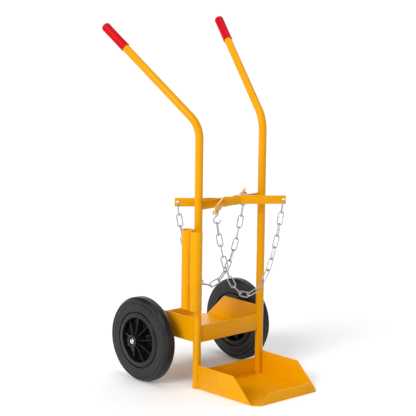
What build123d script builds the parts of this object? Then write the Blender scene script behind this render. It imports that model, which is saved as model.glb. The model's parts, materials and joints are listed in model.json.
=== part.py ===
from build123d import *
import math
import os

os.makedirs("parts", exist_ok=True)

# Trolley for two gas cylinders, one on each side of the posts. Millimetres, +Z up.
# The low front tray faces -Y, the wheels and the operator are at +Y.
# The origin is on the ground, midway between the two posts.

# ---- posts, handles and grips ----
POST_X = 150.0                       # half the spacing of the posts
POST_R = 14.0
POST_WALL = 2.5
BEND_Z = 919.0                       # where the centre lines of post and handle meet
BEND_R = 95.0
HANDLE = (118.7, 363.0, 320.7)       # from that corner to the grip's end: outwards, rearwards, up
GRIP_R = 16.0
GRIP_LENGTH = 112.0
GRIP_END = 5.5                       # closed end beyond the tube
GRIP_ROUNDING = 9.0

# ---- the two trays, bent from one pattern ----
SHEET = 3.0
TRAY_HALF_WIDTH = 156.0
TRAY_DEPTH = 303.0                   # posts' plane to lip
TRAY_CORNER = 22.0                   # plan chamfer between side and lip
SIDE_HEIGHT = 85.0
SIDE_FLAT = 189.0                    # where the side's top edge starts to slope down
LIP_HEIGHT = 37.0
BACK_HEIGHT = 59.0
BACK_Y = 5.0                         # outer face of the back wall, past the posts' plane
RELIEF_R = 4.0                       # bend-relief holes beside the posts
POST_NOTCH = 2.0                     # between a post and the floor's middle strip
BEND_OUTSIDE = 3.5
BEND_INSIDE = 0.8
TRAY_ABOVE_AXLE = 2.0

# ---- wheels and axle ----
WHEEL_R = 150.0
WHEEL_X = 229.0                      # tyre's middle plane
WHEEL_Y = 194.0
TYRE_HALF = 25.0
WIDEST_R = 118.0                     # where the sidewalls stand furthest out
SHOULDER = (138.0, 22.5)             # radius, distance from the middle plane
SHOULDER_MIDDLE = (145.6, 18.0)
CROWN_EDGE = (149.0, 13.0)
CROWN_ARC_R = 85.0                   # the crown is flat across, 1 mm higher in the middle
TREAD_GROOVE = (2.2, 2.0)            # width, depth
TREAD_GROOVE_STEP = 9.0
BEAD_GAP = 0.8                       # moulded line between rubber and rim flange
SEAT_R = 88.0                        # tyre's seat on the rim
SEAT_HALF = 23.0
RIM_HALF = 27.0
FLANGE_R = 96.0
FLANGE_SLOPE = 1.0
FLANGE_ROUNDING = 1.5
RIM_OPENING_R = 80.0
BARREL_DRAFT = 4.0                   # the dish narrows by this much down to the web
WEB_HALF = 2.5
RIBS = 9
RIB_THICKNESS = 3.0
RIB_AT_HUB = 36.0                    # rib's height above the middle plane at the hub
RIB_AT_RIM = 20.0
RIB_ROOT = 2.0                       # a rib's depth in the hub's wall
HUB_R = 23.0
HUB_HALF = 53.0
HUB_DRAFT = 2.0                      # the hub widens by this much down to the web
BUSH_R = 14.0
RECESS_R = 14.5
RECESS_DEPTH = 7.0
AXLE_R = 10.0
AXLE_HALF = 284.0
AXLE_CHAMFER = 2.0
RUNNING_GAP = 0.05                   # radial, bush on axle
SIDE_PLAY = 0.3                      # along the axle, each side of the hub
WASHER = 1.5
INNER_WASHER_R = 16.5
OUTER_WASHER_R = 13.5                # it lies in the hub's recess
RING = 1.2                           # retaining ring's thickness
RING_GROOVE_R = 9.5
RING_R = 12.8
RING_GAP = 5.0
CUT_MARGIN = 1.0                     # a cut starts this far outside the surface
BRACKET = (145.0, 5.0, 22.0)         # inner face from the middle, thickness, half width
SPACER_R = 11.5

# ---- upper rack of flat bar ----
BAR_HEIGHT = 30.0
BAR = 5.0
RACK_Z = 644.0                       # middle of the bars
CRADLE_FLAT = 43.0                   # half the straight middle
CRADLE_TIP = (168.0, 103.0)          # end of a wing: sideways, away from the posts' plane
CRADLE_BEND_R = 12.0
HOLE_R = 5.0
HOLE_FROM_END = 9.0
PIVOT_INSET = 1.3                    # a hanging link leans inboard, so it turns this far inboard of its hole

# ---- filler-rod tubes ----
ROD_TUBE_R = 21.2
ROD_TUBE_WALL = 2.6
ROD_TUBE_Z = (285.0, 562.0)          # foot, mouth
ROD_CAP = 3.0                        # disc welded under the tube

# ---- safety chains ----
LINKS = 17
WIRE_R = 2.1
LINK_INSIDE = 42.4                   # inside length
LINK_INNER_R = 6.6                   # half the inside width
LINK_STEP = 41.5                     # link to link, a little slack for the bends
HOOK_WIRE_R = 2.2
HOOK_TOP_R = 8.8                     # centre-line radii of the S-hook's two loops
HOOK_FOOT_R = 11.8
HOOK_FOOT_SIDE = 5.0                 # sideways offset of the lower loop
HOOK_TOP_FROM = 215.0                # angle of the top loop's free end
HOOK_FOOT_TO = 372.0                 # angle of the lower loop's free end
SLOPE_RANGE = (0.01, 10.0)           # the chain's slope per step is looked for between these
SLOPE_EXACT = 1e-6

ON_PLANE = 0.01                      # an edge this near a plane or line counts as on it

SIDES = {"left": -1, "right": 1}
ENDS = {"front": 0, "rear": 180}     # the rear's twin pieces are the front's, turned about Z
AXLE_Z = WHEEL_R
REAR_TRAY_Z = AXLE_Z + AXLE_R + TRAY_ABOVE_AXLE


def finish(builder, name):
    """Label a finished sub-part and write it to its own STEP file."""
    builder.part.label = name
    export_step(builder.part, f"parts/{name}.step")


def tube(path, outer, inner):
    """Round section, hollow if inner is given, swept along the line made by a BuildLine."""
    with BuildPart() as swept:
        with BuildSketch(Plane(origin=path @ 0, z_dir=path % 0)):
            Circle(outer)
            if inner:
                Circle(inner, mode=Mode.SUBTRACT)
        sweep(path=path)
    return swept


def placed(shape, plane):
    """A copy of a shape made about the origin, set on a plane."""
    with BuildPart() as copy:
        with Locations(plane.location):
            add(shape)
    return copy


# ================= posts and grips =================
for side, sx in SIDES.items():
    corner = Vector(sx * POST_X, 0, BEND_Z)
    grip_tip = corner + Vector(sx * HANDLE[0], HANDLE[1], HANDLE[2])
    along = (grip_tip - corner).normalized()
    tube_end = grip_tip - along * GRIP_END

    with BuildLine() as spine:
        FilletPolyline((sx * POST_X, 0, 0), corner, tube_end, radius=BEND_R)
    finish(tube(spine.line, POST_R, POST_R - POST_WALL), f"{side}_post")

    with BuildPart() as grip:
        with BuildSketch(Plane(origin=grip_tip, z_dir=-along)):
            Circle(GRIP_R)
        extrude(amount=GRIP_LENGTH)
        closed_end = grip.edges().filter_by(GeomType.CIRCLE).sort_by(Axis(corner, along))[-1]
        fillet(closed_end, radius=GRIP_ROUNDING)
        with BuildSketch(Plane(origin=tube_end, z_dir=-along)):
            Circle(POST_R)
        extrude(amount=GRIP_LENGTH, mode=Mode.SUBTRACT)
    finish(grip, f"{side}_grip")

# ================= trays =================
side_end = TRAY_DEPTH - TRAY_CORNER
lip_half = TRAY_HALF_WIDTH - TRAY_CORNER
notch_x = POST_X - POST_R - POST_NOTCH
back_half = POST_X - POST_R

with BuildPart() as tray:
    with BuildSketch():
        with BuildLine():
            Polyline(
                (-TRAY_HALF_WIDTH, -POST_R), (-TRAY_HALF_WIDTH, -side_end), (-lip_half, -TRAY_DEPTH),
                (lip_half, -TRAY_DEPTH), (TRAY_HALF_WIDTH, -side_end), (TRAY_HALF_WIDTH, -POST_R),
                (notch_x, -POST_R), (notch_x, BACK_Y), (-notch_x, BACK_Y), (-notch_x, -POST_R),
                close=True,
            )
        make_face()
    extrude(amount=SHEET)
    # side plates
    for sx in SIDES.values():
        with BuildSketch(Plane.YZ.offset(sx * TRAY_HALF_WIDTH)):
            with BuildLine():
                Polyline((-POST_R, 0), (-side_end, 0), (-SIDE_FLAT, SIDE_HEIGHT), (-POST_R, SIDE_HEIGHT),
                         close=True)
            make_face()
        extrude(amount=-sx * SHEET)
    # lip with slanting ends
    with BuildSketch(Plane.XZ.offset(TRAY_DEPTH)):
        with BuildLine():
            Polyline((-lip_half, 0), (lip_half, 0), (lip_half - LIP_HEIGHT, LIP_HEIGHT),
                     (LIP_HEIGHT - lip_half, LIP_HEIGHT), close=True)
        make_face()
    extrude(amount=-SHEET)
    # back wall between the posts
    with BuildSketch(Plane.XY):
        with Locations((0, BACK_Y - SHEET / 2)):
            Rectangle(2 * back_half, SHEET)
    extrude(amount=BACK_HEIGHT)
    # bend-relief holes
    with BuildSketch(Plane.XY):
        with GridLocations(2 * notch_x, 0, 2, 1):
            with Locations((0, -POST_R - RELIEF_R / 2)):
                Circle(RELIEF_R)
    extrude(amount=SHEET, mode=Mode.SUBTRACT)
    # outer bend lines along the sides, the lip and the back wall
    low = tray.edges().filter_by(lambda e: abs(e.center().Z) < ON_PLANE)
    side_bends = low.filter_by(Axis.Y).filter_by(lambda e: abs(e.center().X) > TRAY_HALF_WIDTH - ON_PLANE)
    front_bends = low.filter_by(Axis.X).filter_by(lambda e: e.center().Y < ON_PLANE - TRAY_DEPTH)
    fillet(side_bends + front_bends, radius=BEND_OUTSIDE)
    inner = tray.edges().filter_by(lambda e: abs(e.center().Z - SHEET) < ON_PLANE)
    inner_sides = inner.filter_by(Axis.Y).filter_by(
        lambda e: abs(abs(e.center().X) - TRAY_HALF_WIDTH + SHEET) < ON_PLANE)
    fillet(inner_sides, radius=BEND_INSIDE)

finish(placed(tray.part, Plane.XY), "front_tray")
finish(placed(tray.part, Plane(origin=(0, 0, REAR_TRAY_Z), x_dir=(-1, 0, 0), z_dir=(0, 0, 1))), "rear_tray")

# ================= axle, brackets and spacers =================
axle_line = Plane(origin=(0, WHEEL_Y, AXLE_Z), x_dir=(0, 0, 1), z_dir=(1, 0, 0))
washer_at = HUB_HALF - RECESS_DEPTH + SIDE_PLAY      # outer washer, from the wheel's middle plane
ring_at = washer_at + WASHER + SIDE_PLAY / 2

with BuildPart() as axle:
    with BuildSketch(axle_line):
        Circle(AXLE_R)
    extrude(amount=AXLE_HALF, both=True)
    chamfer(axle.edges().group_by(Axis.X)[0] + axle.edges().group_by(Axis.X)[-1], length=AXLE_CHAMFER)
    for sx in SIDES.values():
        with BuildSketch(axle_line.offset(sx * (WHEEL_X + ring_at))):
            Circle(AXLE_R + CUT_MARGIN)
            Circle(RING_GROOVE_R, mode=Mode.SUBTRACT)
        extrude(amount=sx * RING, mode=Mode.SUBTRACT)
finish(axle, "axle")

for side, sx in SIDES.items():
    inner_face, thickness, half = BRACKET
    with BuildPart() as bracket:
        with BuildSketch(Plane.YZ.offset(sx * inner_face)):
            with Locations((WHEEL_Y, AXLE_Z)):
                Circle(half)
            with Locations((WHEEL_Y, (AXLE_Z + REAR_TRAY_Z) / 2)):
                Rectangle(2 * half, REAR_TRAY_Z - AXLE_Z)
            with Locations((WHEEL_Y, REAR_TRAY_Z + half / 2)):
                Rectangle(2 * half, half, mode=Mode.SUBTRACT)
            with Locations((WHEEL_Y, AXLE_Z)):
                Circle(AXLE_R, mode=Mode.SUBTRACT)
        extrude(amount=sx * thickness)
    finish(bracket, f"{side}_axle_bracket")

    outer_face = inner_face + thickness
    hub_face = WHEEL_X - HUB_HALF - SIDE_PLAY
    with BuildPart() as spacer:
        with BuildSketch(axle_line.offset(sx * outer_face)):
            Circle(SPACER_R)
            Circle(AXLE_R, mode=Mode.SUBTRACT)
        extrude(amount=sx * (hub_face - WASHER - outer_face))
    finish(spacer, f"{side}_axle_spacer")

    with BuildPart() as inner_washer:
        with BuildSketch(axle_line.offset(sx * (hub_face - WASHER))):
            Circle(INNER_WASHER_R)
            Circle(AXLE_R, mode=Mode.SUBTRACT)
        extrude(amount=sx * WASHER)
    finish(inner_washer, f"{side}_inner_washer")

    with BuildPart() as outer_washer:
        with BuildSketch(axle_line.offset(sx * (WHEEL_X + washer_at))):
            Circle(OUTER_WASHER_R)
            Circle(AXLE_R, mode=Mode.SUBTRACT)
        extrude(amount=sx * WASHER)
    finish(outer_washer, f"{side}_outer_washer")

    # retaining ring, open at the bottom
    with BuildPart() as ring:
        with BuildSketch(axle_line.offset(sx * (WHEEL_X + ring_at))):
            Circle(RING_R)
            Circle(RING_GROOVE_R, mode=Mode.SUBTRACT)
            with Locations((-RING_R, 0)):
                Rectangle(RING_R, RING_GAP, mode=Mode.SUBTRACT)
        extrude(amount=sx * RING)
    finish(ring, f"{side}_retaining_ring")

# ================= wheels, made about Z with the outboard side up =================
with BuildPart() as bush:
    Cylinder(BUSH_R, 2 * HUB_HALF - RECESS_DEPTH,
             align=(Align.CENTER, Align.CENTER, Align.MIN))
    Cylinder(AXLE_R + RUNNING_GAP, 2 * HUB_HALF,
             align=(Align.CENTER, Align.CENTER, Align.MIN), mode=Mode.SUBTRACT)

hub_foot = HUB_R + HUB_DRAFT
barrel_foot = RIM_OPENING_R - BARREL_DRAFT
with BuildPart() as rim:
    with BuildSketch(Plane.XZ):
        # hub, web and barrel with its two flanges, on one side of the axis
        with BuildLine():
            Polyline((BUSH_R, -HUB_HALF), (HUB_R, -HUB_HALF), (hub_foot, -WEB_HALF), (barrel_foot, -WEB_HALF),
                     (RIM_OPENING_R, -RIM_HALF), (FLANGE_R, -RIM_HALF), (FLANGE_R, -SEAT_HALF - FLANGE_SLOPE),
                     (SEAT_R, -SEAT_HALF), (SEAT_R, SEAT_HALF), (FLANGE_R, SEAT_HALF + FLANGE_SLOPE),
                     (FLANGE_R, RIM_HALF), (RIM_OPENING_R, RIM_HALF), (barrel_foot, WEB_HALF),
                     (hub_foot, WEB_HALF), (HUB_R, HUB_HALF), (RECESS_R, HUB_HALF),
                     (RECESS_R, HUB_HALF - RECESS_DEPTH), (BUSH_R, HUB_HALF - RECESS_DEPTH), close=True)
        make_face()
    revolve(axis=Axis.Z)
    # tapering ribs on both faces of the web
    rib_foot = HUB_R - RIB_ROOT
    for rib in range(RIBS):
        with BuildSketch(Plane.XZ.rotated((0, 0, rib * 360 / RIBS))):
            with BuildLine():
                Polyline((rib_foot, -RIB_AT_HUB), (rib_foot, RIB_AT_HUB), (RIM_OPENING_R, RIB_AT_RIM),
                         (RIM_OPENING_R, -RIB_AT_RIM), close=True)
            make_face()
        extrude(amount=RIB_THICKNESS / 2, both=True)
    flange_edges = rim.edges().filter_by(GeomType.CIRCLE).filter_by(
        lambda e: abs(abs(e.center().Z) - RIM_HALF) < ON_PLANE)
    fillet(flange_edges, radius=FLANGE_ROUNDING)

bead = (FLANGE_R + BEAD_GAP, SEAT_HALF)
with BuildPart() as tyre:
    with BuildSketch(Plane.XZ):
        # the outboard half, from the seat round to the crown, then its mirror image
        with BuildLine():
            Line((SEAT_R, 0), (SEAT_R, SEAT_HALF))
            Line((SEAT_R, SEAT_HALF), bead)
            ThreePointArc(bead, (WIDEST_R, TYRE_HALF), SHOULDER)
            ThreePointArc(SHOULDER, SHOULDER_MIDDLE, CROWN_EDGE)
            RadiusArc(CROWN_EDGE, (WHEEL_R, 0), CROWN_ARC_R)
            Line((WHEEL_R, 0), (SEAT_R, 0))
        make_face()
        mirror(about=Plane.XZ)
        with GridLocations(0, TREAD_GROOVE_STEP, 1, 3):
            with Locations((WHEEL_R, 0)):
                Rectangle(2 * TREAD_GROOVE[1], TREAD_GROOVE[0], mode=Mode.SUBTRACT)
    revolve(axis=Axis.Z)

for side, sx in SIDES.items():
    wheel = Plane(origin=(sx * WHEEL_X, WHEEL_Y, AXLE_Z), x_dir=(0, 0, 1), z_dir=(sx, 0, 0))
    finish(placed(bush.part, wheel.offset(-HUB_HALF)), f"{side}_hub_bush")
    finish(placed(rim.part, wheel), f"{side}_rim")
    finish(placed(tyre.part, wheel), f"{side}_tyre")

# ================= rack: cross bar and two V-shaped cradle bars =================
with BuildPart() as cross_bar:
    with BuildSketch(Plane.XY.offset(RACK_Z - BAR_HEIGHT / 2)):
        Rectangle(2 * POST_X, BAR)
        with GridLocations(2 * POST_X, 0, 2, 1):
            Circle(POST_R, mode=Mode.SUBTRACT)
    extrude(amount=BAR_HEIGHT)
finish(cross_bar, "cross_bar")

cradle_y = -BAR                      # centre line of the front cradle's middle, welded to the cross bar
tip = Vector(CRADLE_TIP[0], -CRADLE_TIP[1])
wing = (tip - Vector(CRADLE_FLAT, cradle_y)).normalized()
hole = tip - wing * HOLE_FROM_END
normal = Vector(-wing.Y, wing.X)     # across the right wing, towards the rear
pivot = hole - wing * PIVOT_INSET    # where the chain turns, in the metal under the hole

with BuildLine() as cradle_line:
    FilletPolyline((-tip.X, tip.Y, RACK_Z), (-CRADLE_FLAT, cradle_y, RACK_Z),
                   (CRADLE_FLAT, cradle_y, RACK_Z), (tip.X, tip.Y, RACK_Z), radius=CRADLE_BEND_R)
with BuildPart() as cradle:
    route = cradle_line.line
    with BuildSketch(Plane(origin=route @ 0, x_dir=(0, 0, 1), z_dir=route % 0)):
        Rectangle(BAR_HEIGHT, BAR)
    sweep(path=route)
    for sx in SIDES.values():
        with BuildSketch(Plane(origin=(sx * hole.X, hole.Y, RACK_Z), z_dir=(sx * normal.X, normal.Y, 0))):
            Circle(HOLE_R)
        extrude(amount=BAR, both=True, mode=Mode.SUBTRACT)

for end, turn in ENDS.items():
    finish(placed(cradle.part, Plane.XY.rotated((0, 0, turn))), f"{end}_cradle_bar")

# ================= filler-rod tubes, nested against the left post =================
rod_x = -POST_X - math.sqrt((POST_R + ROD_TUBE_R) ** 2 - ROD_TUBE_R ** 2)
rod_foot, rod_mouth = ROD_TUBE_Z
for end, ry in {"front": -ROD_TUBE_R, "rear": ROD_TUBE_R}.items():
    foot = Plane(origin=(rod_x, ry, rod_foot))
    with BuildPart() as rod_tube:
        with BuildSketch(foot.offset(ROD_CAP)):
            Circle(ROD_TUBE_R)
            Circle(ROD_TUBE_R - ROD_TUBE_WALL, mode=Mode.SUBTRACT)
        extrude(amount=rod_mouth - rod_foot - ROD_CAP)
    finish(rod_tube, f"{end}_rod_tube")

    with BuildPart() as rod_cap:
        with BuildSketch(foot):
            Circle(ROD_TUBE_R)
        extrude(amount=ROD_CAP)
    finish(rod_cap, f"{end}_rod_tube_cap")

# ================= chains =================
# A chain hangs between the two wing holes. Its links and its hook share one step, so the
# slopes of a hanging chain of equal weights apply: rise over run falls evenly from end to end.
steps = LINKS + 1
strip_z = (RACK_Z - BAR_HEIGHT / 2 + RACK_Z - HOLE_R) / 2    # middle of the metal under a hole
end_overlap = LINK_STEP / 2 - (LINK_INSIDE / 2 - LINK_INNER_R)


def headings(slope):
    """Directions of the steps from the right wing to the left one, in the hanging plane."""
    fall = [slope * (steps / 2 - 0.5 - k) for k in range(steps)]
    return [Vector(-1, 0, -f).normalized() for f in fall]


def span(slope):
    """Distance bridged by the chain between its two pivots."""
    ways = headings(slope)
    return LINK_STEP * sum(-w.X for w in ways) + 2 * end_overlap * ways[0].X


low_slope, high_slope = SLOPE_RANGE
while high_slope - low_slope > SLOPE_EXACT:
    middle = (low_slope + high_slope) / 2
    if span(middle) > 2 * pivot.X:
        low_slope = middle
    else:
        high_slope = middle
ways = headings(low_slope)

with BuildLine() as link_line:
    link_bend = LINK_INSIDE / 2 - LINK_INNER_R
    link_r = LINK_INNER_R + WIRE_R
    Line((-link_bend, -link_r), (link_bend, -link_r))
    CenterArc((link_bend, 0), link_r, -90, 180)
    Line((link_bend, link_r), (-link_bend, link_r))
    CenterArc((-link_bend, 0), link_r, 90, 180)
link = tube(link_line.wire(), WIRE_R, None)

across = Vector(0, 1, 0)
first_turn = math.degrees(math.atan2(normal.X, normal.Y))    # first link's plane crosses the wing
turn_step = 90 - 90 / (LINKS - 1)                            # so that the last one crosses the hook
joint = Vector(pivot.X, pivot.Y, strip_z) - ways[0] * end_overlap

with BuildPart() as chain:
    for number, way in enumerate(ways[:LINKS]):
        turn = math.radians(first_turn + number * turn_step)
        wide = across * math.cos(turn) + way.cross(across) * math.sin(turn)
        middle = joint + way * (LINK_STEP / 2)
        with Locations(Plane(origin=middle, x_dir=way, z_dir=way.cross(wide)).location):
            add(link.part)
        joint = joint + way * LINK_STEP

# S-hook in the plane that crosses the left wing, turned with the chain's last step
up = ways[-1]
sideways = Vector(normal.X, -normal.Y, 0)
sideways = (sideways - up * sideways.dot(up)).normalized()
reach = LINK_STEP - end_overlap                              # from its pivot to the last link
seat = math.sqrt(reach**2 - HOOK_FOOT_SIDE**2)               # its part along the hook
lean = math.asin(HOOK_FOOT_SIDE / reach)
foot = Vector(HOOK_FOOT_SIDE, HOOK_FOOT_R - HOOK_WIRE_R - seat)
shank = math.degrees(math.atan2(foot.Y, foot.X) + math.acos((HOOK_TOP_R + HOOK_FOOT_R) / foot.length))
hook_plane = Plane(origin=(-pivot.X, pivot.Y, strip_z), z_dir=sideways.cross(up),
                   x_dir=sideways * math.cos(lean) - up * math.sin(lean))
with BuildLine(hook_plane) as hook_line:
    top = CenterArc((0, 0), HOOK_TOP_R, HOOK_TOP_FROM, shank - HOOK_TOP_FROM)
    bottom = CenterArc((foot.X, foot.Y), HOOK_FOOT_R, shank + 180, HOOK_FOOT_TO - shank - 180)
    Line(top @ 1, bottom @ 0)
hook = tube(hook_line.wire(), HOOK_WIRE_R, None)

for end, turn in ENDS.items():
    finish(placed(chain.part, Plane.XY.rotated((0, 0, turn))), f"{end}_chain")
    finish(placed(hook.part, Plane.XY.rotated((0, 0, turn))), f"{end}_chain_hook")
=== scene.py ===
import json
import math

import bmesh
import bpy
import numpy as np
from mathutils import Matrix, Vector


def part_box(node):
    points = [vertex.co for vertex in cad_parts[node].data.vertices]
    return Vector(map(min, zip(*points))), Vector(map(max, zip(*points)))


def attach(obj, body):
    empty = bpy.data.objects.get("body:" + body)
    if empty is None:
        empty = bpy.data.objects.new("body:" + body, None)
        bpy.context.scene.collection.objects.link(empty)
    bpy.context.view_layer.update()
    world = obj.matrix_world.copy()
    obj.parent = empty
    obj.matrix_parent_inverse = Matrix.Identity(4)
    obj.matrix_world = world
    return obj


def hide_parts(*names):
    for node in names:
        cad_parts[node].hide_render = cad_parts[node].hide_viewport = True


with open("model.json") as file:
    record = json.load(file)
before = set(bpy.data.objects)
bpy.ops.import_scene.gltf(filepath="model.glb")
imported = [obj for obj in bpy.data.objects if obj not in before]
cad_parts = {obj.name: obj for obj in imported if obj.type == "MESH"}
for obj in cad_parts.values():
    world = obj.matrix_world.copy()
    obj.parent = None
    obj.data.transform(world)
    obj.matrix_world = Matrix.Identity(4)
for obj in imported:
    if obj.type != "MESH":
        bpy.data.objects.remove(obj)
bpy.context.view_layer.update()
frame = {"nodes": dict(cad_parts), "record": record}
nodes = frame["nodes"]
record = frame["record"]
scene = bpy.context.scene

MM = 0.001
SIDES = {"left": -1, "right": 1}     # which way is outboard, along X
ENDS = {"front": -1, "rear": 1}      # which way is away from the posts, along Y
BODY_OF = {node: body for body, members in record["behaviour"]["bodies"].items() for node in members}
SLOT_OF = {entry["node"]: entry["material_slot"] for entry in record["subparts"]}


# ================= camera =================
CAMERA_PLACE = (-4.2215, -4.4474, 1.7737)
CAMERA_ANGLES = (-43.016, 10.202, 0.786)       # yaw, pitch and roll
SENSOR_WIDTH = 36.0                  # mm
FOCAL_LENGTH = 155.54
LENS_SHIFT = (-0.0181, -0.0356)
FARTHEST = 60.0                      # what the camera sees ends there, metres


def look_from(place, yaw, pitch, roll):
    """Camera matrix: yaw 0 looks along +Y, pitch is downwards, roll turns the frame; all in degrees."""
    yaw, pitch, roll = math.radians(yaw), math.radians(pitch), math.radians(roll)
    back = Vector((math.sin(yaw) * math.cos(pitch), -math.cos(yaw) * math.cos(pitch), math.sin(pitch)))
    right = Vector((math.cos(yaw), math.sin(yaw), 0))
    up = back.cross(right)
    turned_right = math.cos(roll) * right + math.sin(roll) * up
    turned_up = math.cos(roll) * up - math.sin(roll) * right
    matrix = Matrix((turned_right, turned_up, back)).transposed().to_4x4()
    matrix.translation = place
    return matrix


lens = bpy.data.cameras.new("camera")
lens.sensor_width = SENSOR_WIDTH
lens.lens = FOCAL_LENGTH
lens.shift_x, lens.shift_y = LENS_SHIFT
lens.clip_end = FARTHEST
camera = bpy.data.objects.new("camera", lens)
camera.matrix_world = look_from(Vector(CAMERA_PLACE), *CAMERA_ANGLES)
scene.collection.objects.link(camera)
scene.camera = camera


# ================= materials =================
class Surface:
    """A Principled material with short helpers for its procedural nodes, in object space."""

    def __init__(self, name, **sockets):
        self.material = bpy.data.materials.new(name)
        self.material.use_nodes = True
        self.tree = self.material.node_tree
        self.shader = next(n for n in self.tree.nodes if n.type == "BSDF_PRINCIPLED")
        for socket, value in sockets.items():
            self.shader.inputs[socket.replace("_", " ")].default_value = value
        self.place = self.node("ShaderNodeTexCoord").outputs["Object"]

    def node(self, kind, links=(), **values):
        """A new node, its inputs and settings given by name, and linked from the sockets in links."""
        made = self.tree.nodes.new(kind)
        for key, value in values.items():
            if key in made.inputs:
                made.inputs[key].default_value = value
            else:
                setattr(made, key, value)
        for socket, source in dict(links).items():
            self.tree.links.new(source, made.inputs[socket])
        return made

    def noise(self, scale, detail=2.0):
        """A noise in object space."""
        return self.node("ShaderNodeTexNoise", {"Vector": self.place}, Scale=scale,
                         Detail=detail).outputs["Fac"]

    def between(self, factor, low, high, start=0.35, end=0.65):
        """Ramp from one colour to another, as the factor goes from start to end."""
        ramp = self.node("ShaderNodeValToRGB", {"Fac": factor})
        first, last = ramp.color_ramp.elements
        first.position, last.position = start, end
        first.color, last.color = (*low, 1.0), (*high, 1.0)
        return ramp.outputs["Color"]

    def spread(self, factor, low, high):
        """A noise's usual range, 0.3 to 0.7, mapped to low to high, for roughness."""
        return self.node("ShaderNodeMapRange", {"Value": factor}, **{
            "From Min": 0.3, "From Max": 0.7, "To Min": low, "To Max": high}).outputs["Result"]

    def bump(self, height, strength, distance, under=None):
        """A bump, on top of another one where that is given."""
        links = {"Height": height}
        if under is not None:
            links["Normal"] = under
        return self.node("ShaderNodeBump", links, Strength=strength, Distance=distance).outputs["Normal"]

    def drive(self, **links):
        """Link sockets to the shader's inputs and return the finished material."""
        for socket, source in links.items():
            self.tree.links.new(source, self.shader.inputs[socket.replace("_", " ")])
        return self.material


def shade(colour, factor):
    """A colour made darker or lighter."""
    return tuple(c * factor for c in colour)


def powder_coat():
    """Smooth polyester powder coat, with a faint orange peel."""
    amber = (0.735, 0.318, 0.0)
    surface = Surface("powder_coat_amber", Specular_IOR_Level=0.20, Specular_Tint=(1.0, 0.82, 0.42, 1.0),
                      Coat_Weight=0.03, Coat_Roughness=0.06)
    cloud = surface.noise(6.0, detail=3.0)
    peel = surface.noise(260.0, detail=1.0)
    waves = surface.bump(surface.noise(45.0), strength=0.03, distance=0.0003)
    return surface.drive(
        Base_Color=surface.between(cloud, shade(amber, 0.96), shade(amber, 1.03)),
        Roughness=surface.spread(cloud, 0.25, 0.32),
        Normal=surface.bump(peel, strength=0.04, distance=0.0001, under=waves),
    )


def grip_vinyl():
    """Dipped soft vinyl."""
    red = (0.550, 0.0025, 0.009)
    surface = Surface("grip_vinyl_red", Specular_IOR_Level=0.09, Specular_Tint=(1.0, 0.7, 0.7, 1.0))
    cloud = surface.noise(30.0)
    grain = surface.noise(700.0, detail=1.0)
    return surface.drive(
        Base_Color=surface.between(cloud, shade(red, 0.94), shade(red, 1.05)),
        Roughness=surface.spread(cloud, 0.32, 0.42),
        Normal=surface.bump(grain, strength=0.08, distance=0.0001),
    )


def tyre_rubber():
    """Moulded black rubber, a little lighter in patches."""
    surface = Surface("tyre_rubber", Specular_IOR_Level=0.30)
    cloud = surface.noise(14.0, detail=4.0)
    grain = surface.noise(900.0)
    return surface.drive(
        Base_Color=surface.between(cloud, (0.0075, 0.0075, 0.0077), (0.014, 0.014, 0.014)),
        Roughness=surface.spread(cloud, 0.26, 0.36),
        Normal=surface.bump(grain, strength=0.15, distance=0.0002),
    )


def rim_plastic():
    """Glossy injection-moulded polypropylene."""
    surface = Surface("rim_plastic_black", Specular_IOR_Level=0.34)
    cloud = surface.noise(25.0, detail=3.0)
    grain = surface.noise(400.0, detail=1.0)
    return surface.drive(
        Base_Color=surface.between(cloud, (0.005, 0.005, 0.0054), (0.009, 0.009, 0.0094)),
        Roughness=surface.spread(cloud, 0.13, 0.21),
        Normal=surface.bump(grain, strength=0.06, distance=0.0002),
    )


def metal(name, dark, light, roughness, scale=60.0, finer=12):
    """Bare or plated steel, its brightness and roughness varying in a noise, its grain in a finer one."""
    surface = Surface(name, Metallic=1.0)
    cloud = surface.noise(scale, detail=3.0)
    grain = surface.noise(scale * finer)
    return surface.drive(
        Base_Color=surface.between(cloud, dark, light),
        Roughness=surface.spread(cloud, *roughness),
        Normal=surface.bump(grain, strength=0.08, distance=0.0001),
    )


materials = {
    "frame_paint": powder_coat(),
    "grip_pvc": grip_vinyl(),
    "tyre_rubber": tyre_rubber(),
    "rim_plastic": rim_plastic(),
    "axle_steel": metal("axle_turned_steel", (0.56, 0.56, 0.57), (0.70, 0.70, 0.70), (0.16, 0.26)),
    "zinc_steel": metal("zinc_plate", (0.40, 0.41, 0.43), (0.54, 0.55, 0.57), (0.22, 0.36)),
    "ring_steel": metal("phosphated_steel", (0.08, 0.08, 0.08), (0.15, 0.15, 0.14), (0.40, 0.55)),
    "bush_steel": metal("ground_steel", (0.40, 0.40, 0.41), (0.52, 0.52, 0.53), (0.30, 0.42)),
    "chain_zinc": metal("chain_zinc", (0.39, 0.395, 0.405), (0.51, 0.51, 0.52), (0.32, 0.44),
                        scale=120.0),
}

for name, slot in SLOT_OF.items():
    nodes[name].data.materials.clear()
    nodes[name].data.materials.append(materials[slot])


# ================= mesh helpers =================
MERGE = 1e-6                         # points nearer than this are one, metres
FLAT = 0.6                           # an edge that turns less than this is dissolved, degrees
ROUNDED_FROM = 30.0                  # an edge that turns more than this is rounded
SHARP_FROM = 38.0                    # an edge that turns more than this is shaded as an edge
BEVEL_STEPS = 2
POINT_R = 0.01                       # radius where a turned outline meets the axis, mm


def new_object(name, mesh):
    made = bpy.data.objects.new(name, mesh)
    scene.collection.objects.link(made)
    return made


def settle(piece, body, slot, *replaced):
    """Give a finished piece its material, the body it rides on and the CAD nodes it stands for."""
    piece.data.materials.clear()
    piece.data.materials.append(materials[slot])
    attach(piece, body)
    if replaced:
        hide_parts(*replaced)


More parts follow.
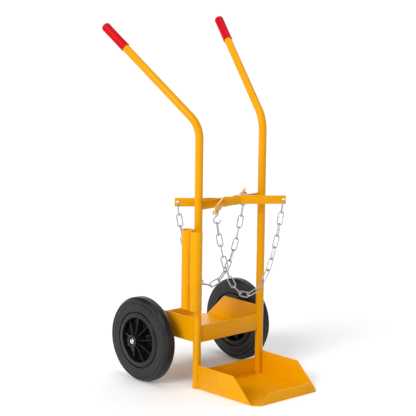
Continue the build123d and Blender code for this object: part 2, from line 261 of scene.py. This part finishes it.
def apply_modifiers(piece):
    """Replace a piece's mesh by its modifiers' result."""
    bpy.context.view_layer.update()
    result = bpy.data.meshes.new_from_object(piece.evaluated_get(bpy.context.evaluated_depsgraph_get()))
    piece.modifiers.clear()
    piece.data = result


def points_of(node):
    """The vertex positions of a CAD node, one to a row."""
    count = len(nodes[node].data.vertices)
    points = np.zeros(count * 3)
    nodes[node].data.vertices.foreach_get("co", points)
    return points.reshape(-1, 3)


def soften(node, radius):
    """Make the CAD node with its sharp edges rounded, as a piece that stands for it."""
    work = bmesh.new()
    work.from_mesh(nodes[node].data)
    bmesh.ops.remove_doubles(work, verts=work.verts, dist=MERGE)
    bmesh.ops.dissolve_limit(work, angle_limit=math.radians(FLAT), verts=work.verts, edges=work.edges)
    mesh = bpy.data.meshes.new(f"{node}_finished")
    work.to_mesh(mesh)
    work.free()
    mesh.shade_smooth()
    piece = new_object(f"{node}_finished", mesh)
    bevel = piece.modifiers.new("edges", "BEVEL")
    bevel.width = radius
    bevel.segments = BEVEL_STEPS
    bevel.limit_method = "ANGLE"
    bevel.angle_limit = math.radians(ROUNDED_FROM)
    bevel.harden_normals = True
    apply_modifiers(piece)
    settle(piece, BODY_OF[node], SLOT_OF[node], node)


def mesh_of(name, parts):
    """One mesh from several (points, faces) pairs, its faces turned outwards."""
    mesh = bpy.data.meshes.new(name)
    points, faces = [], []
    for more, indices in parts:
        faces += [tuple(len(points) + i for i in face) for face in indices]
        points += more
    mesh.from_pydata(points, [], faces)
    work = bmesh.new()
    work.from_mesh(mesh)
    bmesh.ops.recalc_face_normals(work, faces=work.faces)
    work.to_mesh(mesh)
    work.free()
    mesh.shade_smooth()
    mesh.set_sharp_from_angle(angle=math.radians(SHARP_FROM))
    return mesh


def build(name, parts, body, slot, *replaced):
    """Make a piece from (points, faces) pairs and settle it."""
    settle(new_object(name, mesh_of(name, parts)), body, slot, *replaced)


def turned(outline, centre, axis, steps):
    """A closed outline of (radius, distance along the axis), in mm, turned about that axis."""
    side = axis.orthogonal().normalized()
    other = axis.cross(side)
    count = len(outline)
    points, faces = [], []
    for step in range(steps):
        angle = math.tau * step / steps
        out = side * math.cos(angle) + other * math.sin(angle)
        points += [centre + out * (r * MM) + axis * (d * MM) for r, d in outline]
        for i in range(count):
            j, ahead = (i + 1) % count, (step + 1) % steps
            faces.append((step * count + i, step * count + j, ahead * count + j, ahead * count + i))
    return points, faces


def swept(path, radii, sides, closed=False):
    """A round section along a path of points, with a radius at each point; open ends are capped."""
    count = len(path)
    points, faces = [], []
    across = None
    for k, place in enumerate(path):
        before = path[k - 1] if closed or k else place
        after = path[(k + 1) % count] if closed or k < count - 1 else place
        along = (after - before).normalized()
        across = along.orthogonal() if across is None else across - along * across.dot(along)
        across.normalize()
        over = along.cross(across)
        for i in range(sides):
            angle = math.tau * i / sides
            points.append(place + (across * math.cos(angle) + over * math.sin(angle)) * radii[k])
    for k in range(count if closed else count - 1):
        ahead = (k + 1) % count
        for i in range(sides):
            j = (i + 1) % sides
            faces.append((k * sides + i, k * sides + j, ahead * sides + j, ahead * sides + i))
    if not closed:
        faces.append(tuple(range(sides)))
        faces.append(tuple((count - 1) * sides + i for i in range(sides)))
    return points, faces


def arc(start, via, end, count):
    """Points along the circular arc through three points of a plane, both ends included."""
    (ax, ay), (bx, by), (cx, cy) = start, via, end
    d = 2 * (ax * (by - cy) + bx * (cy - ay) + cx * (ay - by))
    a2, b2, c2 = ax * ax + ay * ay, bx * bx + by * by, cx * cx + cy * cy
    mx = (a2 * (by - cy) + b2 * (cy - ay) + c2 * (ay - by)) / d
    my = (a2 * (cx - bx) + b2 * (ax - cx) + c2 * (bx - ax)) / d
    first = math.atan2(ay - my, ax - mx)
    turn = math.remainder(math.atan2(cy - my, cx - mx) - first, math.tau)
    r = math.hypot(ax - mx, ay - my)
    angles = [first + turn * k / (count - 1) for k in range(count)]
    return [(mx + r * math.cos(angle), my + r * math.sin(angle)) for angle in angles]


def rounded(corners, steps=5):
    """A closed outline from (x, y, radius) corners, each turned into an arc of that radius."""
    outline = []
    for k, (x, y, radius) in enumerate(corners):
        here = Vector((x, y))
        to_last = Vector(corners[k - 1][:2]) - here
        to_next = Vector(corners[(k + 1) % len(corners)][:2]) - here
        if not radius:
            outline.append((x, y))
            continue
        half_angle = to_last.angle(to_next) / 2
        bisector = (to_last.normalized() + to_next.normalized()).normalized()
        middle = here + bisector * radius / math.sin(half_angle)
        tangent = radius / math.tan(half_angle)
        start, end = here + to_last.normalized() * tangent, here + to_next.normalized() * tangent
        first, last = start - middle, end - middle
        turn = math.remainder(math.atan2(last.y, last.x) - math.atan2(first.y, first.x), math.tau)
        for step in range(steps + 1):
            angle = math.atan2(first.y, first.x) + turn * step / steps
            outline.append((middle.x + radius * math.cos(angle), middle.y + radius * math.sin(angle)))
    return outline


def principal(points):
    """Middle of a cloud of points, its own axes, longest first, and its size along them."""
    axes = np.linalg.eigh(np.cov(points.T))[1][:, ::-1].T
    along = points @ axes.T
    low, high = along.min(0), along.max(0)
    middle = ((low + high) / 2) @ axes
    return Vector(middle), [Vector(a) for a in axes], high - low


# ================= sheet, bar, tube and small turned parts, with rounded edges =================
def each(places, *parts):
    """Names of nodes that there are two of, one for each place."""
    return [f"{place}_{part}" for place in places for part in parts]


EDGE_ROUNDING = {                    # radius of the edges in mm: nodes
    0.6: ["front_tray", "rear_tray", "cross_bar", "front_cradle_bar", "rear_cradle_bar"],
    0.5: each(SIDES, "post", "axle_bracket") + each(ENDS, "rod_tube", "rod_tube_cap", "chain_hook"),
    0.25: each(SIDES, "inner_washer", "outer_washer", "axle_spacer", "hub_bush"),
    0.15: each(SIDES, "retaining_ring"),
}
for radius, names in EDGE_ROUNDING.items():
    for name in names:
        soften(name, radius * MM)

# ================= axle =================
CENTRE_DRILL = [(POINT_R, 4.2), (1.1, 3.4), (1.2, 1.6), (2.6, 0.3), (2.9, 0.0)]    # radius, depth
AXLE_END = [(4.8, 0.0), (5.4, 0.12), (8.7, 1.8), (9.6, 2.4), (10.0, 3.0)]
RING_GROOVE_DEPTH = 0.5
GROOVE_SLOPE = 0.01                  # the grooves' sides lean by this much
ROUND_STEPS = 64


def axle():
    """The shaft with its centre-drilled, chamfered ends and its two ring grooves."""
    low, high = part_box("axle")
    centre = (low + high) / 2
    reach = (high.x - low.x) / 2 / MM
    shaft = (high.z - low.z) / 2 / MM
    ring_low, ring_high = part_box("right_retaining_ring")
    near, far = (ring_low.x - centre.x) / MM, (ring_high.x - centre.x) / MM
    root = shaft - RING_GROOVE_DEPTH
    groove = [(shaft, far), (root, far - GROOVE_SLOPE), (root, near + GROOVE_SLOPE), (shaft, near)]
    end = [(r, reach - d) for r, d in CENTRE_DRILL + AXLE_END] + groove
    outline = end + [(r, -d) for r, d in reversed(end)]
    parts = [turned(outline, centre, Vector((1, 0, 0)), ROUND_STEPS)]
    build("axle_turned", parts, BODY_OF["axle"], SLOT_OF["axle"], "axle")


axle()

# ================= rims =================
WHEEL_STEPS = 144
RIM_HALF = 27.0                      # distances from the wheel's middle plane and radii, in mm
HUB_HALF = 53.0
WEB_HALF = 2.5
SEAT_HALF = 23.0
RECESS_DEPTH = 7.0
BUSH_R, RECESS_R, HUB_R, HUB_FOOT_R = 14.0, 14.5, 23.0, 25.0
BARREL_FOOT_R, OPENING_R, RIM_SEAT_R, FLANGE_R = 76.0, 80.0, 88.0, 96.0
FLANGE_FALL = 2.0                    # the flange's face slopes back towards the tyre
RIBS = 9
RIB_SPAN = (21.0, 79.0)              # radii of a rib's two ends
RIB_HEIGHT = (36.0, 20.0)            # above the middle plane at those ends
RIB_HALF_THICK = (1.9, 1.45)         # at the web and at the crest
CREST_ROUND = 0.35
ARC_MIDDLE = 0.3                     # a quarter circle's middle is this share of its radius off each wall
RIM_CORNERS = [                      # radius, distance outboard, rounding
    (BUSH_R, -HUB_HALF, 0.4), (HUB_R, -HUB_HALF, 1.2), (HUB_FOOT_R, -WEB_HALF, 3.0),
    (BARREL_FOOT_R, -WEB_HALF, 3.0), (OPENING_R, -RIM_HALF, 1.4), (FLANGE_R, FLANGE_FALL - RIM_HALF, 1.2),
    (FLANGE_R, -SEAT_HALF - 0.4, 0.4), (RIM_SEAT_R, -SEAT_HALF, 0.0), (RIM_SEAT_R, SEAT_HALF, 0.0),
    (FLANGE_R, SEAT_HALF + 0.4, 0.4), (FLANGE_R, RIM_HALF - FLANGE_FALL, 1.2), (OPENING_R, RIM_HALF, 1.4),
    (BARREL_FOOT_R, WEB_HALF, 3.0), (HUB_FOOT_R, WEB_HALF, 3.0), (HUB_R, HUB_HALF, 1.2),
    (RECESS_R, HUB_HALF, 0.4), (RECESS_R, HUB_HALF - RECESS_DEPTH, 0.0),
    (BUSH_R, HUB_HALF - RECESS_DEPTH, 0.0),
]


def rib(centre, outward, angle):
    """One rib on both faces of the web, drafted and with rounded crests."""
    up = Vector((0, 0, 1))
    out = up * math.cos(angle) + outward.cross(up) * math.sin(angle)
    across = out.cross(outward)
    foot, crest = RIB_HALF_THICK
    points = []
    for radius, height in zip(RIB_SPAN, RIB_HEIGHT):
        cut = CREST_ROUND * ARC_MIDDLE
        quarter = [(0.0, foot), (height - CREST_ROUND, crest), (height - cut, crest - cut),
                   (height, crest - CREST_ROUND)]
        loop = quarter + [(d, -t) for d, t in reversed(quarter)] + [(-d, -t) for d, t in quarter[1:]]
        loop += [(-d, t) for d, t in reversed(quarter[1:])]
        points += [centre + (out * radius + outward * d + across * t) * MM for d, t in loop]
    count = len(points) // 2
    faces = [(i, (i + 1) % count, count + (i + 1) % count, count + i) for i in range(count)]
    return points, faces + [tuple(range(count)), tuple(range(count, 2 * count))]


def wheel_place(side):
    """A wheel's centre and its outboard direction."""
    low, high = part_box(f"{side}_tyre")
    return (low + high) / 2, Vector((SIDES[side], 0, 0))


for side in SIDES:
    centre, outward = wheel_place(side)
    parts = [turned(rounded(RIM_CORNERS), centre, outward, WHEEL_STEPS)]
    parts += [rib(centre, outward, math.tau * k / RIBS) for k in range(RIBS)]
    build(f"{side}_rim_moulded", parts, f"{side}_wheel", "rim_plastic", f"{side}_rim")

# ================= tyres =================
# the groove round the rim's flange, as radius and distance from the middle plane
BEAD_GROOVE = [(96.3, 23.0), (96.6, 18.6), (97.2, 18.0), (98.8, 18.0), (99.6, 18.8), (100.0, 23.0)]
# radius and distance from the middle plane, from the rim out to the tread
BEAD = (100.6, 24.8)
WIDEST = (118.0, 25.0)
SHOULDER = (138.0, 22.5)
SHOULDER_MIDDLE = (145.6, 18.0)
CROWN_EDGE = (149.0, 13.0)
# each ridge's radius, height and half width
SIDEWALL_RIDGES = [(102.4, 0.6, 0.9), (127.0, 1.1, 2.2), (134.0, 0.5, 0.8), (141.2, 2.6, 1.7)]
RIDGE_SAMPLES = (-2.0, -1.2, -0.6, 0.0, 0.6, 1.2, 2.0)     # points across a ridge, in half widths
# the ridge along the tread's edge: height over the crown's edge, distance inwards from it
CROWN_RIDGE = [(0.9, 0.5), (0.9, 1.3), (0.1, 2.0)]
CROWN_BULGE = 1.0
TREAD_GROOVES = (9.0, 0.0)           # distances from the middle plane
TREAD_GROOVE = [(1.5, 0.0), (1.1, 0.25), (0.9, 1.8), (0.6, 2.0)]     # half width, depth
VENTS = [(112.0, 7), (136.0, 9)]     # radius, how many moulding nibs round one side
VENT_NIB = [(-0.5, 0.55), (0.4, 0.45), (1.0, 0.35), (1.3, 0.12)]     # height over the sidewall, radius
VENT_TURN = 0.37                     # spacings that a circle is turned by, for each mm of its radius
NIB_SIDES = 8


def sidewall_relief(radius):
    """Height of the ridges at a radius of the sidewall."""
    return sum(height * math.exp(-((radius - at) / half) ** 2) for at, height, half in SIDEWALL_RIDGES)


def tyre_section():
    """The tyre's closed section in mm: its seat, outboard sidewall and tread, and the same back."""
    flank = arc(BEAD, WIDEST, SHOULDER, count=15)
    flank += arc(SHOULDER, SHOULDER_MIDDLE, CROWN_EDGE, count=9)[1:]
    radii = [r for r, _ in flank]
    for at, _, half in SIDEWALL_RIDGES:
        radii += [at + half * k for k in RIDGE_SAMPLES]
    fine = sorted(set(round(r, 3) for r in radii))
    widths = np.interp(fine, [r for r, _ in flank], [d for _, d in flank])
    outboard = [(RIM_SEAT_R, BEAD_GROOVE[0][1])] + BEAD_GROOVE
    outboard += [(r, float(d) + sidewall_relief(r)) for r, d in zip(fine, widths)]
    outboard += [(CROWN_EDGE[0] + height, CROWN_EDGE[1] - inwards) for height, inwards in CROWN_RIDGE]
    for middle in TREAD_GROOVES:
        crown = CROWN_EDGE[0] + CROWN_BULGE * (1 - (middle / CROWN_EDGE[1]) ** 2)
        outboard += [(crown - depth, middle + out) for out, depth in TREAD_GROOVE]
        if middle:
            outboard += [(crown - depth, middle - out) for out, depth in reversed(TREAD_GROOVE)]
    return outboard + [(r, -d) for r, d in reversed(outboard)]


def tyre_vents(centre, outward):
    """Small moulding nibs on the outer sidewall."""
    parts = []
    up = Vector((0, 0, 1))
    along = outward.cross(up)
    for radius, count in VENTS:
        for k in range(count):
            angle = math.tau * (k + VENT_TURN * radius) / count
            width = float(np.interp(radius, *zip(BEAD, WIDEST, SHOULDER)))
            foot = centre + (up * math.cos(angle) + along * math.sin(angle)) * radius * MM
            path = [foot + outward * (width + height) * MM for height, _ in VENT_NIB]
            parts.append(swept(path, [nib_radius * MM for _, nib_radius in VENT_NIB], NIB_SIDES))
    return parts


for side in SIDES:
    centre, outward = wheel_place(side)
    parts = [turned(tyre_section(), centre, outward, WHEEL_STEPS)] + tyre_vents(centre, outward)
    build(f"{side}_tyre_moulded", parts, f"{side}_wheel", "tyre_rubber", f"{side}_tyre")

# ================= grips =================
GRIP_WALL = 2.0
# the rolled lip: height over the grip's radius, distance from the open end
GRIP_LIP = [(-0.2, 0.0), (0.5, 0.5), (0.5, 2.0), (0.1, 3.0), (0.0, 4.5)]
GRIP_WAIST = 0.25                    # the grip is thinner by this halfway along
GRIP_TIP_ROUND = 9.0
GRIP_STEPS = 8
MOULD_MARK = [(2.5, 0.0), (2.0, 0.4), (POINT_R, 0.4)]      # radius, depth in the closed end


def grip_outline(radius, length):
    """Section of a dipped grip from its open end, at distance 0, to its closed end, in mm."""
    bore, tip = radius - GRIP_WALL, length - GRIP_TIP_ROUND
    lip = [(bore, 0.0)] + [(radius + over, d) for over, d in GRIP_LIP]
    lip_end = GRIP_LIP[-1][1]
    shares = [k / GRIP_STEPS for k in range(1, GRIP_STEPS + 1)]
    body = [(radius - GRIP_WAIST * math.sin(math.pi * share), lip_end + (tip - lip_end) * share)
            for share in shares]
    angles = [math.pi / 2 * share for share in shares]
    dome = [(radius - GRIP_TIP_ROUND * (1 - math.cos(a)), tip + GRIP_TIP_ROUND * math.sin(a))
            for a in angles]
    mark = [(r, length - depth) for r, depth in MOULD_MARK]
    inside = [(POINT_R, tip), (bore, tip)]
    return lip + body + dome + mark + inside


for side in SIDES:
    middle, axes, size = principal(points_of(f"{side}_grip"))
    along = axes[0] if axes[0].z > 0 else -axes[0]
    start = middle - along * (size[0] / 2)
    outline = grip_outline(size[1] / 2 / MM, size[0] / MM)
    parts = [turned(outline, start, along, ROUND_STEPS)]
    build(f"{side}_grip_dipped", parts, "frame", "grip_pvc", f"{side}_grip")

# ================= chains =================
FLASH_HEIGHT = 0.30                  # weld flash on one long side: share of the wire's radius
FLASH_HALF = 1.6                     # its half length, mm
FLASH_SAMPLES = (-1.6, -0.9, -0.4, 0.0, 0.4, 0.9, 1.6)     # points along it, in half lengths
SIDE_SHARE = 0.9                     # part of the long side that has steps of its own
LINK_BEND_STEPS = 12
LINK_SIDE_STEPS = 9
WIRE_SIDES = 14


def link_part(middle, axes, size):
    """A welded link: round wire in a slot-shaped loop, with a weld flash on one long side."""
    wire = size[2] / 2
    bend = size[1] / 2 - wire
    straight = size[0] / 2 - size[1] / 2
    side = [straight * SIDE_SHARE * (k / (LINK_SIDE_STEPS - 1) * 2 - 1) for k in range(LINK_SIDE_STEPS)]
    flash = [FLASH_HALF * MM * k for k in FLASH_SAMPLES]
    places = [(x, -bend) for x in sorted(side + flash)]
    for centre, first in ((straight, -90), (-straight, 90)):
        angles = [math.radians(first + 180 * k / LINK_BEND_STEPS) for k in range(LINK_BEND_STEPS + 1)]
        places += [(centre + bend * math.cos(a), bend * math.sin(a)) for a in angles]
    path = [middle + axes[0] * x + axes[1] * y for x, y in places]
    radii = [wire * (1 + FLASH_HEIGHT * math.exp(-((x / MM / FLASH_HALF) ** 4))) if y == -bend else wire
             for x, y in places]
    return swept(path, radii, WIRE_SIDES, closed=True)


def loose_parts(mesh):
    """The vertex positions of each separate solid in a mesh."""
    work = bmesh.new()
    work.from_mesh(mesh)
    bmesh.ops.remove_doubles(work, verts=work.verts, dist=MERGE)
    work.verts.ensure_lookup_table()
    seen, clouds = set(), []
    for seed in work.verts:
        if seed.index in seen:
            continue
        seen.add(seed.index)
        queue, cloud = [seed], []
        while queue:
            vertex = queue.pop()
            cloud.append(tuple(vertex.co))
            for edge in vertex.link_edges:
                other = edge.other_vert(vertex)
                if other.index not in seen:
                    seen.add(other.index)
                    queue.append(other)
        clouds.append(np.array(cloud))
    work.free()
    return clouds


for end in ENDS:
    links = [link_part(*principal(cloud)) for cloud in loose_parts(nodes[f"{end}_chain"].data)]
    build(f"{end}_chain_links", links, f"{end}_chain", "chain_zinc", f"{end}_chain")

# ================= painted welds =================
WELD_R = 2.6                         # radius of most beads, mm, as are the other lengths here
FINE_R = 2.2                         # along the trays' back walls, and round the axle
CRADLE_R = 2.0
CAP_R = 0.9
RIPPLE = 2.1                         # from one ripple of the weld to the next
RIPPLE_STEPS = 5
RIPPLE_DIP = 0.14                    # a bead is thinner by this share between two ripples
UNEVEN = 0.07                        # its thickness wanders by this share
WANDER = (0.9, 0.23)                 # radians for each step, of the two waves that it wanders in
END_SHARE, END_GROWTH = 0.35, 0.13   # share of the thickness at a bead's end, and what each step adds
BEAD_SIDES = 10
FEWEST_STEPS = 8
VALLEY_SHARE = 0.4                   # share of its radius that a bead's middle lies off the tubes

BAR_OUT, BAR_OVER = 0.4, 1.0         # the bar's beads: beyond its end, and over its face
MARGIN = 2                           # a bead stops this far from an edge
CRADLE_RUN = (14, 34)                # distances from the middle
SIDE_IN, SIDE_ROUND = 0.6, 1.4       # the side plates' beads: inside of the plate's face, the post's wall
SIDE_RUNS = ((6, 30), (54, 78))      # heights over the tray's underside
WALL_IN = 0.2                        # the walls' beads: into the post's width
WALL_INTO, WALL_OFF = 3.4, 0.4       # and from the wall's outer face, into the tray and out of it
WALL_RUN = (6, 52)
TUBE_STARTS = (0.02, 0.46, 0.90)     # shares of the tube's height, as is the length of a run
TUBE_RUN = 0.08
CAP_IN = 0.2
FILLET_OUT = 0.8                     # the brackets' beads lie this far outside the corner that they fill


def weld(start, end, radius=WELD_R):
    """A rippled weld bead from one point to another, in mm."""
    start, end = Vector(start), Vector(end)
    count = max(int((end - start).length / RIPPLE) * RIPPLE_STEPS, FEWEST_STEPS)
    return ripples([start.lerp(end, k / count) for k in range(count + 1)], radius, taper=True)


def ring_weld(centre, axis, ring_radius, radius):
    """A weld bead all the way round a tube or shaft, in mm."""
    side = Vector(axis).orthogonal().normalized()
    other = Vector(axis).cross(side)
    count = round(math.tau * ring_radius / RIPPLE) * RIPPLE_STEPS
    turns = [math.tau * k / count for k in range(count)]
    path = [Vector(centre) + (side * math.cos(a) + other * math.sin(a)) * ring_radius for a in turns]
    return ripples(path, radius, taper=False)


def ripples(path, radius, taper):
    """A bead along a path, thick and thin in turns; a tapered one has thin ends, the other is a ring."""
    sizes = []
    for k in range(len(path)):
        ripple = 1 - RIPPLE_DIP + RIPPLE_DIP * abs(math.cos(math.pi * k / RIPPLE_STEPS))
        uneven = 1 + UNEVEN * math.sin(WANDER[0] * k) * math.cos(WANDER[1] * k)
        ends = min(1.0, END_SHARE + END_GROWTH * min(k, len(path) - 1 - k)) if taper else 1.0
        sizes.append(radius * ripple * uneven * ends * MM)
    return swept([p * MM for p in path], sizes, BEAD_SIDES, closed=not taper)


def in_mm(node):
    """A CAD node's lowest and highest corners, in mm."""
    low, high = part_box(node)
    return low / MM, high / MM


def valley(first, first_r, second, second_r, outside):
    """Middle of a bead in the valley between two upright round tubes, on the side of a direction."""
    gap = Vector((second.x - first.x, second.y - first.y))
    distance = gap.length
    first_r, second_r = first_r + WELD_R * VALLEY_SHARE, second_r + WELD_R * VALLEY_SHARE
    along = (distance * distance + first_r * first_r - second_r * second_r) / (2 * distance)
    away = math.sqrt(first_r * first_r - along * along)
    across = Vector((-gap.y, gap.x)) / distance
    if across.dot(outside) < 0:
        across = -across
    return Vector((first.x, first.y)) + gap / distance * along + across * away


def post_place():
    """A post's radius, and how far its axis is from the middle."""
    low, _ = in_mm("right_post")
    return -low.y, low.x - low.y


def rack_beads():
    """Beads that join the cross bar to the posts and, above and below, the cradle bars to it."""
    low, high = in_mm("cross_bar")
    beads = []
    for out_x in SIDES.values():
        for out_y in ENDS.values():
            x, y = out_x * (high.x + BAR_OUT), out_y * (high.y + BAR_OVER)
            beads.append(weld((x, y, low.z + MARGIN), (x, y, high.z - MARGIN)))
            near, far = (out_x * run for run in CRADLE_RUN)
            for z in (low.z, high.z):
                beads.append(weld((near, out_y * high.y, z), (far, out_y * high.y, z), CRADLE_R))
    return beads


def tray_beads():
    """Beads that join the trays to the posts: side plates in two runs, back walls on both faces."""
    post_r, post_x = post_place()
    beads = []
    for end, out_y in ENDS.items():
        low, high = in_mm(f"{end}_tray")
        wall_outer = low.y if out_y > 0 else high.y
        for out_x in SIDES.values():
            x, y = out_x * (high.x - SIDE_IN), out_y * (post_r - SIDE_ROUND)
            for from_z, to_z in SIDE_RUNS:
                beads.append(weld((x, y, low.z + from_z), (x, y, low.z + to_z)))
            x = out_x * (post_x - post_r + WALL_IN)
            from_z, to_z = WALL_RUN
            for y in (wall_outer + out_y * WALL_INTO, wall_outer - out_y * WALL_OFF):
                beads.append(weld((x, y, low.z + from_z), (x, y, low.z + to_z), FINE_R))
    return beads


def rod_tube_beads():
    """Beads that join the rod tubes to the left post, in three runs, and the caps to the tubes."""
    post_r, post_x = post_place()
    beads = []
    for end, out_y in ENDS.items():
        low, high = in_mm(f"{end}_rod_tube")
        tube_r = (high.x - low.x) / 2
        axis = Vector(((low.x + high.x) / 2, (low.y + high.y) / 2))
        place = valley(Vector((-post_x, 0.0)), post_r, axis, tube_r, Vector((0.0, out_y)))
        height = high.z - low.z
        for share in TUBE_STARTS:
            z = low.z + share * height
            beads.append(weld((*place, z), (*place, z + TUBE_RUN * height)))
        cap_top = in_mm(f"{end}_rod_tube_cap")[1].z
        beads.append(ring_weld((*axis, cap_top), (0, 0, 1), tube_r - CAP_IN, CAP_R))
    return beads


def axle_beads():
    """Beads that join the axle brackets to the rear tray, and the axle to the brackets."""
    axle_low, axle_high = in_mm("axle")
    axis, axle_r = (axle_low + axle_high) / 2, (axle_high.z - axle_low.z) / 2
    beads = []
    for side, out_x in SIDES.items():
        low, high = in_mm(f"{side}_axle_bracket")
        z = high.z - FILLET_OUT
        for x in (low.x - FILLET_OUT, high.x + FILLET_OUT):
            beads.append(weld((x, low.y + MARGIN, z), (x, high.y - MARGIN, z)))
        inner = low.x if out_x > 0 else high.x
        centre = (inner - out_x * FILLET_OUT, axis.y, axis.z)
        beads.append(ring_weld(centre, (1, 0, 0), axle_r + FILLET_OUT, FINE_R))
    return beads


build("rack_welds", rack_beads(), "frame", "frame_paint")
build("tray_welds", tray_beads(), "frame", "frame_paint")
build("rod_tube_welds", rod_tube_beads(), "frame", "frame_paint")
build("axle_welds", axle_beads(), "frame", "frame_paint")

# ================= stage and light =================
FLOOR_HALF = 30.0                    # half the floor's side, metres
FLOOR_GREYS = (0.89, 0.90)
FLOOR_GLOW = 0.10                    # keeps the shadows on the floor pale
BACKDROP = 1.0                       # brightness near the horizon
CEILING = 0.20
BACKDROP_TOP = (0.12, 0.34)          # the brightness falls between these sines of the elevation
LIGHTS = [                           # name, direction towards it, energy, width in degrees
    ("key_left", (-0.84, -0.20, 0.50), 2.30, 28.0),
    ("overhead", (0.0, 0.0, 1.0), 1.08, 40.0),
    ("fill_behind", (0.70, 0.56, 0.45), 0.90, 60.0),
]


def grey(value):
    return value, value, value


def lay_floor():
    """A white floor, at the height that the object stands on."""
    surface = Surface("studio_floor", Roughness=0.9, Specular_IOR_Level=0.1,
                      Emission_Color=(*grey(1.0), 1.0), Emission_Strength=FLOOR_GLOW)
    darker, lighter = FLOOR_GREYS
    surface.drive(Base_Color=surface.between(surface.noise(3.0), grey(darker), grey(lighter)))
    corners = [(x * FLOOR_HALF, y * FLOOR_HALF, 0) for x, y in ((-1, -1), (1, -1), (1, 1), (-1, 1))]
    mesh = bpy.data.meshes.new("floor")
    mesh.from_pydata(corners, [], [(0, 1, 2, 3)])
    mesh.materials.append(surface.material)
    new_object("floor", mesh)


def hang_backdrop():
    """A white backdrop all round, up to a dimmer ceiling."""
    world = bpy.data.worlds.new("studio")
    world.use_nodes = True
    tree = world.node_tree
    background = next(n for n in tree.nodes if n.type == "BACKGROUND")
    background.inputs["Strength"].default_value = 1.0
    direction = tree.nodes.new("ShaderNodeTexCoord")
    height = tree.nodes.new("ShaderNodeSeparateXYZ")
    ramp = tree.nodes.new("ShaderNodeValToRGB")
    backdrop, ceiling = ramp.color_ramp.elements
    backdrop.position, ceiling.position = BACKDROP_TOP
    backdrop.color, ceiling.color = (*grey(BACKDROP), 1.0), (*grey(CEILING), 1.0)
    tree.links.new(direction.outputs["Generated"], height.inputs["Vector"])
    tree.links.new(height.outputs["Z"], ramp.inputs["Fac"])
    tree.links.new(ramp.outputs["Color"], background.inputs["Color"])
    scene.world = world


def soft_sun(name, towards, energy, width):
    """A broad, distant light; towards points at it."""
    light = bpy.data.lights.new(name, "SUN")
    light.energy = energy
    light.angle = math.radians(width)
    lamp = bpy.data.objects.new(name, light)
    lamp.rotation_euler = (-Vector(towards)).to_track_quat("-Z", "Y").to_euler()
    scene.collection.objects.link(lamp)


lay_floor()
hang_backdrop()
for light in LIGHTS:
    soft_sun(*light)
scene.view_settings.view_transform = "Standard"
